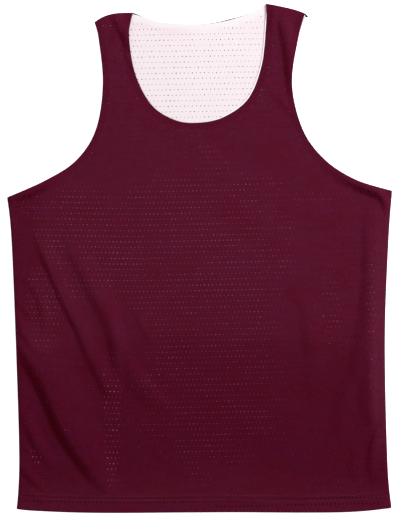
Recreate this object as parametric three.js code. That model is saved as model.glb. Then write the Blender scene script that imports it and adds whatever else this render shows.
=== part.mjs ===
// Basketball jersey laid flat on a surface: a reversible sleeveless shirt, two plies of mesh in front
// and two behind. Millimetres, X across the chest, Y from the hem to the shoulders, Z up.
import * as THREE from 'three';

// Driving sizes
const WALL = 1;
const SEAM_GAP = 0.3;
const PLY_SLACK = 0.3;
const HEM_DEPTH = 20;
const HEM_STEP = 2;
const HEM_RISE = 0.7;

// A sewn edge: height of the seam line, radius of the rolled edge, how much the layers inside lift the
// front beside it, and how far in that lift spreads
const SIDE_SEAM = { height: 3.5, roll: 6, lift: 1.8, spread: 32 };
const SHOULDER_SEAM = { height: 4.5, roll: 8, lift: 4.1, spread: 44 };
const ROLL_STEPS = 3;
const STRAP_LENGTH = 145;

// The outline as laid: x from the middle of the chest, up from the lowest point of the hem
const SIDE_LEFT = [
  { x: -255.2, up: 5.3 },
  { x: -252, up: 73 },
  { x: -255.9, up: 213 },
  { x: -262.8, up: 381 },
  { x: -269, up: 441 },
];
const SIDE_RIGHT = [
  { x: 268, up: 6.9 },
  { x: 262.4, up: 70 },
  { x: 258.8, up: 240 },
  { x: 263.8, up: 381 },
  { x: 269, up: 449.5 },
];
const HEM = [
  { x: -255.2, up: 5.3 },
  { x: -223, up: 2.5 },
  { x: -139, up: 0 },
  { x: 30, up: 0.8 },
  { x: 197, up: 0.8 },
  { x: 268, up: 6.9 },
];
const ARMHOLE_LEFT = [
  { x: -269, up: 441 },
  { x: -214.5, up: 465.1 },
  { x: -172.3, up: 493.1 },
  { x: -145.3, up: 535.1 },
  { x: -135.5, up: 598 },
  { x: -141.3, up: 661.1 },
  { x: -147.3, up: 685.7 },
];
const ARMHOLE_RIGHT = [
  { x: 269, up: 449.5 },
  { x: 218.4, up: 465.1 },
  { x: 175.4, up: 493.1 },
  { x: 144.5, up: 535.1 },
  { x: 129.4, up: 598 },
  { x: 137.5, up: 661.1 },
  { x: 147, up: 697.5 },
];
const SHOULDER_LEFT = [
  { x: -147.3, up: 685.7 },
  { x: -133.4, up: 693.8 },
  { x: -116.6, up: 698.2 },
  { x: -92.8, up: 699.2 },
];
const SHOULDER_RIGHT = [
  { x: 147, up: 697.5 },
  { x: 128.4, up: 703.8 },
  { x: 93.4, up: 711.2 },
];
const NECK_FRONT = [
  { x: -92.8, up: 699.2 },
  { x: -98, up: 666.7 },
  { x: -89.6, up: 613.5 },
  { x: -66.2, up: 569.4 },
  { x: -32.6, up: 548.4 },
  { x: 1, up: 545.4 },
  { x: 34.6, up: 553.3 },
  { x: 68.2, up: 578.5 },
  { x: 87.1, up: 624.7 },
  { x: 93.4, up: 682.1 },
  { x: 93.4, up: 711.2 },
];
const NECK_BACK = [
  { x: -92.8, up: 699.2 },
  { x: -60.6, up: 687.7 },
  { x: -10.2, up: 682.8 },
  { x: 31.8, up: 686.3 },
  { x: 73.8, up: 699.4 },
  { x: 93.4, up: 711.2 },
];

// Where the panels divide for their rows: shares of the armholes and of the front neckline, and the
// inner lines that run from the hem up to the scoop
const YOKE_SHARE = 0.52;
const SCOOP = { from: 0.32, to: 0.66 };
const INNER_LEFT = { hem: 0.345, x: -75, up: 425 };
const INNER_RIGHT = { hem: 0.62, x: 70, up: 430 };

// The largest folds of the front. Each is a crest line; steep is the width of the flank that faces the
// hem and the left side seam, and gentle that of the other one
const FOLDS = [
  { name: 'sweep to the hem', rise: 9, steep: 15, gentle: 36,
    crest: [[-247, 236], [-216, 172], [-188, 113], [-155, 64], [-132, 34]] },
  { name: 'from the left underarm', rise: 3.6, steep: 10, gentle: 20,
    crest: [[-226, 388], [-193, 311], [-162, 248], [-140, 190], [-114, 148]] },
  { name: 'broad left roll', rise: 4.6, steep: 17, gentle: 26,
    crest: [[-187, 394], [-152, 318], [-123, 260], [-114, 196]] },
  { name: 'belly crease', rise: 4.6, steep: 15, gentle: 17,
    crest: [[-120, 266], [-94, 217], [-56, 162], [-30, 144]] },
  { name: 'left hem corner', rise: 3.2, steep: 11, gentle: 15,
    crest: [[-246, 138], [-224, 97], [-190, 48]] },
  { name: 'below the left corner', rise: 2.2, steep: 8, gentle: 10,
    crest: [[-247, 70], [-222, 34]] },
  { name: 'right side seam', rise: 4.8, steep: 13, gentle: 28,
    crest: [[253, 436], [241, 367], [237, 282], [227, 199], [219, 114], [212, 62]] },
  { name: 'right waist branch', rise: 3, steep: 11, gentle: 13,
    crest: [[226, 256], [214, 222], [196, 186]] },
  { name: 'right chest', rise: 2.2, steep: 15, gentle: 24,
    crest: [[144, 350], [152, 275], [161, 172]] },
  { name: 'right hem corner', rise: 3.6, steep: 10, gentle: 15,
    crest: [[254, 124], [240, 92], [243, 48]] },
  { name: 'right underarm', rise: 4, steep: 8, gentle: 9,
    crest: [[192, 467], [228, 453], [259, 444]] },
  { name: 'left underarm', rise: 2.6, steep: 7, gentle: 8,
    crest: [[-252, 442], [-228, 453], [-196, 468]] },
  { name: 'right strap', rise: 4.6, steep: 9, gentle: 14,
    crest: [[119, 694], [126, 640], [128, 588]] },
  { name: 'right armhole', rise: 2.6, steep: 9, gentle: 12,
    crest: [[99, 616], [118, 568], [150, 508]] },
  { name: 'left strap', rise: 3.2, steep: 8, gentle: 13,
    crest: [[-116, 691], [-103, 665], [-93, 642]] },
];

// How many cells a ply has: rows in the body, yoke and straps, columns in the left, middle and right
// blocks, and its column lines beside the side seams
const FOLDED_GRID = { body: 23, yoke: 7, strap: 7, left: 15, middle: 9, right: 11, beside: [12, 22] };
const FLAT_GRID = { body: 14, yoke: 4, strap: 4, left: 4, middle: 6, right: 4, beside: [22] };

const MAROON = new THREE.MeshStandardMaterial({ color: 0x56152b, roughness: 0.85, metalness: 0 });
const WHITE = new THREE.MeshStandardMaterial({ color: 0xf5eaee, roughness: 0.85, metalness: 0 });

const curve = (rows) => new THREE.SplineCurve(rows.map(({ x, up }) => new THREE.Vector2(x, up)));
const unit = (share) => THREE.MathUtils.clamp(share, 0, 1);
const stretch = (path, from, to) => (share) => path.getPointAt(unit(from + (to - from) * share));
const straight = (from, to) => (share) => from.clone().lerp(to, share);
const moved = (row, x, up) => ({ x: row.x + x, up: row.up + up });
const moveEnd = (rows, x, up) => [...rows.slice(0, -1), moved(rows.at(-1), x, up)];
const moveStart = (rows, x, up) => [moved(rows[0], x, up), ...rows.slice(1)];

// The lines of one face of a ply. Its sewn edges stop short of the outline by inset, while the neck,
// the armholes and the hem are open edges and keep their place.
function faceLines(inset) {
  const sideLeft = curve(SIDE_LEFT.map((row) => moved(row, inset, 0)));
  const sideRight = curve(SIDE_RIGHT.map((row) => moved(row, -inset, 0)));
  const armLeft = curve(moveEnd(moveStart(ARMHOLE_LEFT, inset, 0), 0, -inset));
  const armRight = curve(moveEnd(moveStart(ARMHOLE_RIGHT, -inset, 0), 0, -inset));
  const neck = curve(moveEnd(moveStart(NECK_FRONT, 0, -inset), 0, -inset));
  const backNeck = curve(moveEnd(moveStart(NECK_BACK, 0, -inset), 0, -inset));
  const hem = curve(moveEnd(moveStart(HEM, inset, 0), -inset, 0));
  const innerLine = (line, scoopAt, shoulderAt) => {
    const waist = new THREE.Vector2(line.x, line.up);
    return {
      body: straight(hem.getPointAt(line.hem), waist),
      yoke: straight(waist, neck.getPointAt(scoopAt)),
      strap: stretch(neck, scoopAt, shoulderAt),
    };
  };
  const edgeLine = (side, arm) => ({
    body: stretch(side, 0, 1),
    yoke: stretch(arm, 0, YOKE_SHARE),
    strap: stretch(arm, YOKE_SHARE, 1),
  });
  return {
    edgeLeft: edgeLine(sideLeft, armLeft),
    edgeRight: edgeLine(sideRight, armRight),
    innerLeft: innerLine(INNER_LEFT, SCOOP.from, 0),
    innerRight: innerLine(INNER_RIGHT, SCOOP.to, 1),
    hemLeft: stretch(hem, 0, INNER_LEFT.hem),
    hemMiddle: stretch(hem, INNER_LEFT.hem, INNER_RIGHT.hem),
    hemRight: stretch(hem, 1, INNER_RIGHT.hem),
    shoulderLeft: stretch(curve(SHOULDER_LEFT.map((row) => moved(row, 0, -inset))), 0, 1),
    shoulderRight: stretch(curve(SHOULDER_RIGHT.map((row) => moved(row, 0, -inset))), 0, 1),
    scoop: stretch(neck, SCOOP.from, SCOOP.to),
    backNeck: stretch(backNeck, 0, 1),
  };
}

// Distances from a seam at equal turns of its rolled edge, nearest first
function rollDistances(roll, inset) {
  const turns = Array.from({ length: ROLL_STEPS + 1 }, (_, k) => (k / ROLL_STEPS) * (Math.PI / 2));
  return turns.map((turn) => (roll - inset) * (1 - Math.cos(turn)));
}

const countedTo = (count) => Array.from({ length: count }, (_, k) => (k + 1) / count);
const evenShares = (from, count) => countedTo(count).map((share) => from + (1 - from) * share);

// The rows of a face from hem to shoulder. level is a row's place in the whole height, from 0 to 1.
function faceRows(grid, inset) {
  const bodyLength = SIDE_LEFT.at(-1).up - SIDE_LEFT[0].up;
  const band = [0, HEM_DEPTH / bodyLength, (HEM_DEPTH + HEM_STEP) / bodyLength];
  const nearSeam = rollDistances(SHOULDER_SEAM.roll, inset).map((d) => 1 - d / STRAP_LENGTH).reverse();
  const strap = evenShares(0, grid.strap).map((share) => share * nearSeam[0]);
  const parts = [
    ['body', [...band, ...evenShares(band.at(-1), grid.body)]],
    ['yoke', evenShares(0, grid.yoke)],
    ['strap', [...strap, ...nearSeam.slice(1)]],
  ];
  return parts.flatMap(([part, shares], order) =>
    shares.map((share) => ({
      part,
      share,
      level: (order + share) / parts.length,
      hemBand: part === 'body' && share <= band[1],
    })));
}

// A point of a row between the lines a and b, bent towards the curved bottom and top of its block
function blockPoint(row, a, b, bottom, top, level, share) {
  const bend = (edge) => edge(share).sub(edge(0).lerp(edge(1), share));
  const point = a[row.part](row.share).lerp(b[row.part](row.share), share);
  return point.add(bend(bottom).multiplyScalar(1 - level)).add(bend(top).multiplyScalar(level));
}

// A block between an outer edge and an inner line. Each point knows how far it lies from the side
// seam and from the shoulder seam.
function outerBlock(rows, grid, count, inset, edge, inner, hem, shoulder) {
  const beside = [...rollDistances(SIDE_SEAM.roll, inset), ...grid.beside.map((d) => d - inset)];
  const corner = edge.yoke(0);
  return rows.map((row) => {
    const start = edge[row.part](row.share);
    const width = start.distanceTo(inner[row.part](row.share));
    const shares = beside.map((d) => d / width);
    shares.push(...evenShares(shares.at(-1), count));
    return shares.map((share) => {
      const point = blockPoint(row, edge, inner, hem, shoulder, row.level, share);
      const seam = row.part === 'body' ? start : corner;
      return {
        x: point.x,
        up: point.y,
        side: inset + point.distanceTo(seam),
        shoulder: inset + point.distanceTo(shoulder(share)),
        hemBand: row.hemBand,
      };
    });
  });
}

// The block between the inner lines. The front's ends at the scoop, the back's at its neckline.
function middleBlock(rows, grid, inset, lines, isFront) {
  const top = isFront ? lines.scoop : lines.backNeck;
  const topLevel = isFront ? rows.filter((row) => row.part !== 'strap').at(-1).level : 1;
  const neckCorners = [lines.innerLeft.strap(1), lines.innerRight.strap(1)];
  return rows.map((row) =>
    evenShares(0, grid.middle).slice(0, -1).map((share) => {
      if (isFront && row.part === 'strap') return null;
      const level = row.level / topLevel;
      const point = blockPoint(row, lines.innerLeft, lines.innerRight, lines.hemMiddle, top, level, share);
      return {
        x: point.x,
        up: point.y,
        side: Infinity,
        shoulder: inset + Math.min(...neckCorners.map((corner) => point.distanceTo(corner))),
        hemBand: row.hemBand,
      };
    }));
}

// All points of one face, row by row from left to right. Where the front's scoop is, they are null.
function facePoints(grid, inset, isFront) {
  const lines = faceLines(inset);
  const rows = faceRows(grid, inset);
  const { edgeLeft, innerLeft, hemLeft, shoulderLeft } = lines;
  const { edgeRight, innerRight, hemRight, shoulderRight } = lines;
  const left = outerBlock(rows, grid, grid.left, inset, edgeLeft, innerLeft, hemLeft, shoulderLeft);
  const middle = middleBlock(rows, grid, inset, lines, isFront);
  const right = outerBlock(rows, grid, grid.right, inset, edgeRight, innerRight, hemRight, shoulderRight);
  return rows.map((_, k) => [...left[k], ...middle[k], ...right[k].reverse()]);
}

const bump = (distance, width) => (distance < width ? (1 - (distance / width) ** 2) ** 2 : 0);

const foldLines = FOLDS.map(({ crest, ...fold }) => {
  const path = new THREE.SplineCurve(crest.map(([x, up]) => new THREE.Vector2(x, up)));
  return { ...fold, points: path.getSpacedPoints(12) };
});

// How high a fold stands at a place: full along its crest, fading to nothing at both ends
function foldHeight(fold, place) {
  let nearest = { distance: Infinity, share: 0, side: 1 };
  const last = fold.points.length - 1;
  for (let k = 0; k < last; k += 1) {
    const along = fold.points[k + 1].clone().sub(fold.points[k]);
    const from = place.clone().sub(fold.points[k]);
    const t = THREE.MathUtils.clamp(from.dot(along) / along.lengthSq(), 0, 1);
    const distance = from.distanceTo(along.clone().multiplyScalar(t));
    if (distance < nearest.distance) {
      nearest = { distance, share: (k + t) / last, side: Math.sign(along.cross(from)) };
    }
  }
  const width = nearest.side > 0 ? fold.gentle : fold.steep;
  return fold.rise * Math.sqrt(Math.sin(Math.PI * nearest.share)) * bump(nearest.distance, width);
}

function relief(x, up) {
  const place = new THREE.Vector2(x, up);
  return foldLines.reduce((sum, fold) => sum + foldHeight(fold, place), 0);
}

// The relief's steepness, which thickens the wall upwards so that it stays a full wall across its slope
function slopeFactor(x, up) {
  const reach = 1;
  const across = (relief(x + reach, up) - relief(x - reach, up)) / (2 * reach);
  const along = (relief(x, up + reach) - relief(x, up - reach)) / (2 * reach);
  return Math.hypot(1, across, along);
}

function rolled(distance, inset, seam) {
  const share = THREE.MathUtils.clamp((distance - inset) / (seam.roll - inset), 0, 1);
  return Math.sqrt(1 - (1 - share) ** 2);
}

// Height of a face at a point: its level, lifted beside the seams on the front, then rolled down or up
// to the seam line at the sewn edges
function faceHeight(face, point) {
  let height = face.level;
  if (face.isFront) {
    height += SIDE_SEAM.lift * bump(point.side, SIDE_SEAM.spread);
    height += SHOULDER_SEAM.lift * bump(point.shoulder, SHOULDER_SEAM.spread);
  }
  if (face.isFolded) height += relief(point.x, point.up);
  if (face.isFolded && face.isUpper) {
    height += WALL * (slopeFactor(point.x, point.up) - 1);
    if (point.hemBand) height += HEM_RISE;
  }
  const halfGap = face.isFront ? SEAM_GAP / 2 : -SEAM_GAP / 2;
  for (const [seam, distance] of [[SIDE_SEAM, point.side], [SHOULDER_SEAM, point.shoulder]]) {
    const seamLine = seam.height + halfGap;
    height = seamLine + (height - seamLine) * rolled(distance, face.inset, seam);
  }
  return new THREE.Vector3(point.x, point.up, height);
}

// A closed wall between two faces that share their rows and columns. Each cell is split along the
// diagonal whose ends differ least in height, so that the split runs along a fold.
function wallGeometry(upper, lower) {
  const positions = [];
  const triangle = (...corners) => corners.forEach((corner) => positions.push(corner.x, corner.y, corner.z));
  const isCell = (r, c) =>
    [[r, c], [r, c + 1], [r + 1, c + 1], [r + 1, c]].every(([row, column]) => upper[row]?.[column]);
  const split = (face, a, b, c, d) => {
    triangle(face(a), face(b), face(c));
    triangle(face(a), face(c), face(d));
  };
  const onUpper = ([r, c]) => upper[r][c];
  const onLower = ([r, c]) => lower[r][c];
  const climb = (a, b) => Math.abs(onUpper(a).z - onUpper(b).z);
  for (let r = 0; r < upper.length - 1; r += 1) {
    for (let c = 0; c < upper[r].length - 1; c += 1) {
      if (!isCell(r, c)) continue;
      const ring = [[r, c], [r, c + 1], [r + 1, c + 1], [r + 1, c]];
      const neighbours = [[r - 1, c], [r, c + 1], [r + 1, c], [r, c - 1]];
      const isFirst = climb(ring[0], ring[2]) < climb(ring[1], ring[3]);
      const [p, q, s, t] = isFirst ? ring : [...ring.slice(1), ring[0]];
      split(onUpper, p, q, s, t);
      split(onLower, p, t, s, q);
      neighbours.forEach((cell, k) => {
        if (isCell(...cell)) return;
        const [from, to] = [ring[k], ring[(k + 1) % 4]];
        triangle(onUpper(from), onLower(from), onLower(to));
        triangle(onUpper(from), onLower(to), onUpper(to));
      });
    }
  }
  const geometry = new THREE.BufferGeometry();
  geometry.setAttribute('position', new THREE.Float32BufferAttribute(positions, 3));
  geometry.computeVertexNormals();
  return geometry;
}

// One ply: bottom is the height of its lower face, and outside tells which of its faces is the
// garment's outer or reverse side, from whose sewn edges the other one is a wall further in
function ply(name, material, { bottom, isFront, isOuter, grid }) {
  const outside = isOuter ? 0 : WALL + SEAM_GAP;
  const inside = outside + WALL;
  const shared = { isFront, isFolded: isFront && isOuter };
  const upperFace = { ...shared, isUpper: true, level: bottom + WALL, inset: isFront ? outside : inside };
  const lowerFace = { ...shared, isUpper: false, level: bottom, inset: isFront ? inside : outside };
  const [upper, lower] = [upperFace, lowerFace].map((face) => {
    const rows = facePoints(grid, face.inset, isFront);
    return rows.map((row) => row.map((point) => point && faceHeight(face, point)));
  });
  const mesh = new THREE.Mesh(wallGeometry(upper, lower), material);
  mesh.name = name;
  return mesh;
}

const backInnerBottom = WALL + SEAM_GAP;
const frontInnerBottom = backInnerBottom + WALL + SEAM_GAP + PLY_SLACK;
const frontOuterBottom = frontInnerBottom + WALL + SEAM_GAP + PLY_SLACK;

const jersey = new THREE.Group();
jersey.add(
  ply('back_outer', MAROON, { bottom: 0, isFront: false, isOuter: true, grid: FLAT_GRID }),
  ply('back_inner', WHITE, { bottom: backInnerBottom, isFront: false, isOuter: false, grid: FLAT_GRID }),
  ply('front_inner', WHITE, { bottom: frontInnerBottom, isFront: true, isOuter: false, grid: FLAT_GRID }),
  ply('front_outer', MAROON, { bottom: frontOuterBottom, isFront: true, isOuter: true, grid: FOLDED_GRID }),
);

// The origin is under the middle of the laid shirt
const middle = new THREE.Box3().setFromObject(jersey).getCenter(new THREE.Vector3());
jersey.position.set(-middle.x, -middle.y, 0);

export default jersey;
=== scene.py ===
"""Basketball jersey laid flat: four plies of pinhole mesh, their turned edges and their stitching.

The cloth is worked out in millimetres: x across the chest, up from the lowest point of the hem and z
from the surface. It becomes metres in the frame's axes when a mesh is made.
"""
import math
from collections import Counter

import bpy
import numpy as np
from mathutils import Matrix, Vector
from mathutils.geometry import delaunay_2d_cdt


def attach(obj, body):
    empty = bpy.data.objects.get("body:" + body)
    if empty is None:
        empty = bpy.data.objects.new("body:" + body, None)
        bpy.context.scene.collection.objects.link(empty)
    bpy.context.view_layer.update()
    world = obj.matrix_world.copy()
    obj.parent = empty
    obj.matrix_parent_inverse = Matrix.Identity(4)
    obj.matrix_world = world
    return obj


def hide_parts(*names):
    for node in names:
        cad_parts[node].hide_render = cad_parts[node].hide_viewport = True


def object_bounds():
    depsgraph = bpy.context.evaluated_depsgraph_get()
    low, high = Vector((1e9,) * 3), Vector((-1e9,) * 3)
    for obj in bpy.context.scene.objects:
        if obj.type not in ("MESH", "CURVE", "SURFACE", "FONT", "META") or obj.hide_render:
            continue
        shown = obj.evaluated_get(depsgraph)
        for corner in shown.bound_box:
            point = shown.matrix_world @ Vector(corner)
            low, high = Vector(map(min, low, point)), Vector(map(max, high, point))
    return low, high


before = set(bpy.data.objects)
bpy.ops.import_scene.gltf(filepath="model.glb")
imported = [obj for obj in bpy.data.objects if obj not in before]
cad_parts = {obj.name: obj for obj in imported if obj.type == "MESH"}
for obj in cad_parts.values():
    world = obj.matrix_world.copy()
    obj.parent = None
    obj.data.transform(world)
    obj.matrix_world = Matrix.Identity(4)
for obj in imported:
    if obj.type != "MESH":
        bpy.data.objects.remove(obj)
CAD_BOX = [list(corner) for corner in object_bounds()]

MM = 0.001
HIGHEST = 711.2
UP_ZERO = HIGHEST - CAD_BOX[1][1] / MM  # how far up the frame's origin lies

# The outline as laid, the same points as the solids: x, up
SIDE_LEFT = [(-255.2, 5.3), (-252, 73), (-255.9, 213), (-262.8, 381), (-269, 441)]
SIDE_RIGHT = [(268, 6.9), (262.4, 70), (258.8, 240), (263.8, 381), (269, 449.5)]
HEM = [(-255.2, 5.3), (-223, 2.5), (-139, 0), (30, 0.8), (197, 0.8), (268, 6.9)]
ARMHOLE_LEFT = [
    (-269, 441), (-214.5, 465.1), (-172.3, 493.1), (-145.3, 535.1), (-135.5, 598),
    (-141.3, 661.1), (-147.3, 685.7),
]
ARMHOLE_RIGHT = [
    (269, 449.5), (218.4, 465.1), (175.4, 493.1), (144.5, 535.1), (129.4, 598),
    (137.5, 661.1), (147, 697.5),
]
SHOULDER_LEFT = [(-147.3, 685.7), (-133.4, 693.8), (-116.6, 698.2), (-92.8, 699.2)]
SHOULDER_RIGHT = [(147, 697.5), (128.4, 703.8), (93.4, 711.2)]
NECK_FRONT = [
    (-92.8, 699.2), (-98, 666.7), (-89.6, 613.5), (-66.2, 569.4), (-32.6, 548.4), (1, 545.4),
    (34.6, 553.3), (68.2, 578.5), (87.1, 624.7), (93.4, 682.1), (93.4, 711.2),
]
NECK_BACK = [
    (-92.8, 699.2), (-60.6, 687.7), (-10.2, 682.8), (31.8, 686.3), (73.8, 699.4), (93.4, 711.2),
]

# How far the cloth stands outside those lines, or inside them where it is negative
EASE = {"side_right": 1.0, "hem": 0.8, "shoulder_right": 0.8, "armhole_left": -0.6, "armhole_right": 0.4}

# Sewn edges: height of the seam, half the height of its open groove, radius of the rolled edge, how
# much the layers inside lift the front beside it, and how far in that lift spreads
SIDE_SEAM = {"height": 2.3, "groove": 0.4, "roll": 5, "lift": 1.2, "spread": 30}
SHOULDER_SEAM = {"height": 2.9, "groove": 0.4, "roll": 6, "lift": 1.6, "spread": 40}
SEWN_INSET = 1.6  # how far inside the outer ply's rolled edge the reverse ply's lies

# Open edges are folded over a lip, and stitched through the turned-in allowance
LIP_DROP = 1.25  # how far the very edge rounds over, in lips
LIP_ROUND = 1.2
ALLOWANCE = {"neck": 10, "armhole_left": 9, "armhole_right": 9, "hem": 24}
STITCH_LINES = {"neck": [8.5], "armhole_left": [7.5], "armhole_right": [7.5], "hem": [17.3, 23.3]}
HEM_GROOVE = (20.3, 2.4)  # how far in the sunk line between the hem's two rows lies, and half its width
STRIP_ROW = 1.5
HEM_SINK = 0.4
HEM_RISE = 0.3
NECK_PRESS = (0.9, 4, 60)  # how much lower the front lies along its neckline, to how far in

# The front's two plies touch in soft patches, where the reverse shows bright through the pinholes:
# middle x, up, half the width, half the height, how closely they touch
TOUCHING = [
    (1, 367, 135, 130, 0.87), (20, 182, 110, 132, 0.8), (-160, 381, 72, 84, 0.92), (-122, 130, 13, 100, 1),
    (-216, 297, 28, 63, 0.9), (-187, 94, 12, 26, 1), (-229, 76, 10, 12, 1), (240, 269, 6.5, 125, 0.86),
    (186, 295, 18, 55, 0.8), (-222, 425, 34, 18, 0.8), (124, 682, 14, 12, 0.6), (-122, 686, 15, 12, 1),
    (172, 441, 40, 17, 0.75),
]
TOUCH_GAP = 0.4
HANG_GAP = 1.7
EDGE_GAP = {"neck": 0.65, "armhole_left": 0.7, "armhole_right": 0.7, "hem": 1.5}

# Pinhole mesh: a staggered lattice whose rows bend, holes of uneven size, and plain cloth at the rim
BEND_FROM = 85
BEND_SOFT = 20
RING_SHARE = 0.55
HOLE_UNEVEN = 0.15
HOLE_RUN = 0.16
HOLE_RUN_LENGTH = 5
HOLE_CHANCE = 0.26
HEM_HOLES = (21, 1.35)  # how far in the hem's pinholes are wider, and how much
# How strong the painted shade round the pinholes is where the plies hang apart
HANG_HOLE_SHADE = 0.64
HOLE_SHADE_PLACE = (0, 0.65)  # painted shade darkens the cloth round the pinholes that nothing bright shows through
EDGE_SPACING = 3
RIM_DEPTHS = [0.35, 1.0, 2.0, 3.3]
LATTICE_MARGIN = 4.4

# Folds of the front. Each crest point: x, up, rise, width of the flank below and left of the crest,
# width of the flank above and right of it
FOLDS = [
    [  # sweep to the hem
        (-258, 252, 3, 13, 30), (-244, 227, 8, 15, 44), (-230, 206, 10.5, 17, 52), (-214, 178, 11, 18, 54),
        (-198, 139, 11, 18, 54), (-184, 111, 10.5, 18, 52), (-167, 84, 9, 18, 46), (-150, 60, 6.5, 17, 38),
        (-133, 39, 3, 15, 28), (-120, 26, 0, 12, 20),
    ],
    [  # from the left underarm
        (-231, 392, 0, 8, 16), (-224, 377, 2, 9, 20), (-213, 351, 3.4, 9, 20), (-199, 320, 3.8, 9, 20),
        (-184, 286, 3.8, 9, 20), (-168, 255, 3.6, 9, 20), (-157, 229, 3.4, 11, 18), (-144, 205, 3.8, 14, 18),
        (-128, 174, 3, 15, 18), (-120, 158, 0, 15, 16),
    ],
    [  # broad left roll
        (-190, 388, 0, 12, 26), (-175, 360, 1.6, 12, 26), (-163, 340, 2.6, 14, 26), (-152, 319, 3.4, 15, 26),
        (-138, 295, 4.6, 17, 24), (-127, 276, 5, 18, 20), (-119, 254, 4.8, 18, 16), (-116, 229, 3.6, 14, 14),
        (-115, 196, 1.5, 11, 12), (-113, 178, 0, 10, 12),
    ],
    [  # belly crease
        (-117, 262, 0, 16, 14), (-110, 240, 1.2, 20, 14), (-100, 213, 2.6, 24, 14), (-83, 185, 3.2, 26, 14),
        (-62, 164, 2.6, 26, 14), (-46, 146, 1, 22, 12), (-36, 136, 0, 20, 10),
    ],
    [(-94, 290, 0, 8, 8), (-87, 280, 0.9, 8, 8), (-72, 248, 0.9, 8, 8), (-62, 232, 0, 8, 8)],
    [(-246, 334, 0, 8, 12), (-238, 323, 0.9, 9, 14), (-226, 306, 1.7, 9, 14), (-219, 286, 1.9, 9, 14),
     (-216, 266, 1.5, 9, 12), (-216, 246, 0, 9, 12)],
    [(-254, 293, 1, 5, 8), (-243, 281, 1.2, 5, 8), (-232, 267, 0, 5, 8)],
    [(-256, 277, 1.2, 7, 9), (-251, 268, 2.2, 7, 9), (-245, 251, 2.8, 7, 9), (-233, 233, 1.8, 7, 9),
     (-227, 223, 0, 7, 9)],
    [  # left hem corner
        (-252, 150, 1, 10, 14), (-243, 132, 2.4, 11, 15), (-233, 111, 3.6, 11, 15), (-224, 90, 2.8, 10, 15),
        (-210, 69, 1.2, 10, 14), (-198, 55, 0, 10, 14),
    ],
    [(-252, 72, 1.4, 8, 10), (-247, 64, 2.4, 8, 10), (-236, 51, 2.6, 8, 10), (-225, 39, 1.6, 8, 10),
     (-216, 30, 0, 8, 10)],
    [(-240, 34, 0, 7, 8), (-232, 26, 0.9, 7, 8), (-220, 17, 0.9, 7, 8), (-210, 10, 0, 7, 8)],
    [  # right side seam
        (247, 446, 0, 8, 14), (241, 425, 1.4, 12, 18), (239, 405, 2.4, 14, 20), (239, 350, 3.8, 15, 21),
        (238.5, 300, 4.8, 17, 21), (237, 262, 5.4, 22, 21), (235, 230, 5.6, 27, 22), (234, 200, 5, 26, 20),
        (236, 170, 4, 22, 18), (239, 140, 2.4, 17, 16), (243, 118, 0, 13, 14),
    ],
    [(226, 226, 0, 17, 14), (217, 196, 2.4, 18, 14), (207, 166, 3, 19, 16), (199, 136, 2, 18, 16),
     (193, 106, 0, 16, 16)],
    [  # right chest
        (130, 335, 0, 15, 22), (139, 312, 0.7, 17, 24), (152, 280, 2, 18, 24), (158, 246, 2.5, 18, 24),
        (160, 217, 2.3, 18, 24), (156, 182, 1.3, 17, 22), (150, 160, 0, 15, 20),
    ],
    [(224, 108, 0, 10, 12), (218, 85, 1.3, 10, 14), (216, 62, 1.5, 10, 14), (218, 46, 0, 10, 12)],
    [  # right hem corner
        (264, 134, 1.5, 9, 12), (254, 121, 2.6, 9, 13), (245, 98, 3, 9, 14), (241, 74, 2.3, 9, 14),
        (243, 52, 1.6, 9, 12), (247, 40, 0, 8, 10),
    ],
    [  # right underarm
        (172, 488, 0, 9, 10), (191, 475, 2.2, 10, 12), (211, 463.5, 4.4, 10.5, 12),
        (232, 454.5, 6.6, 11, 12), (248, 448.5, 7.6, 11, 12), (257, 440, 5.4, 8.5, 10),
        (261, 430, 2.8, 8, 9), (263, 418, 0, 8, 9),
    ],
    [(-262, 439, 2.6, 9, 10), (-245, 446, 6.8, 10, 12), (-222, 456, 7.2, 11, 12), (-200, 468, 4, 11, 12),
     (-184, 480, 0, 10, 10)],
    [  # right strap
        (114, 702, 0, 11, 12), (118, 686, 3, 12, 14), (123, 664, 5, 12.5, 14), (126.5, 642, 6, 12.5, 14),
        (127.5, 622, 5.8, 11.5, 13), (128.5, 600, 3.4, 10, 12), (129, 580, 0, 9, 12),
    ],
    [(106, 706, 0, 6, 8), (104, 695, 2.2, 6, 9), (101, 683, 2.2, 6, 9), (98, 668, 0, 6, 8)],
    [(98, 602, 0, 9, 12), (107, 586, 0.9, 9, 12), (131, 559, 1.5, 9, 12), (145, 537, 0.9, 9, 12),
     (152, 522, 0, 9, 12)],
    [  # left strap
        (-122, 702, 0, 10, 12), (-117, 694, 2.4, 10, 13), (-109, 679, 4.2, 10.5, 14),
        (-102, 665, 4.8, 10.5, 14), (-97.5, 652, 3, 10, 12), (-95, 642, 0, 9, 12),
    ],
    [(-116, 690, 0, 7, 9), (-118, 668, 1, 7, 9), (-120, 648, 0.8, 7, 9), (-122, 632, 0, 7, 9)],
    [(-134, 628, 0, 4, 6), (-130, 636, 1.2, 4, 6), (-125, 647, 1.2, 4, 6), (-121, 656, 0, 4, 6)],
    [(-105, 647, 0, 4, 6), (-101, 637, 1.3, 4, 6), (-92, 621, 1.3, 4, 6), (-87, 610, 0, 4, 6)],
]

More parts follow.
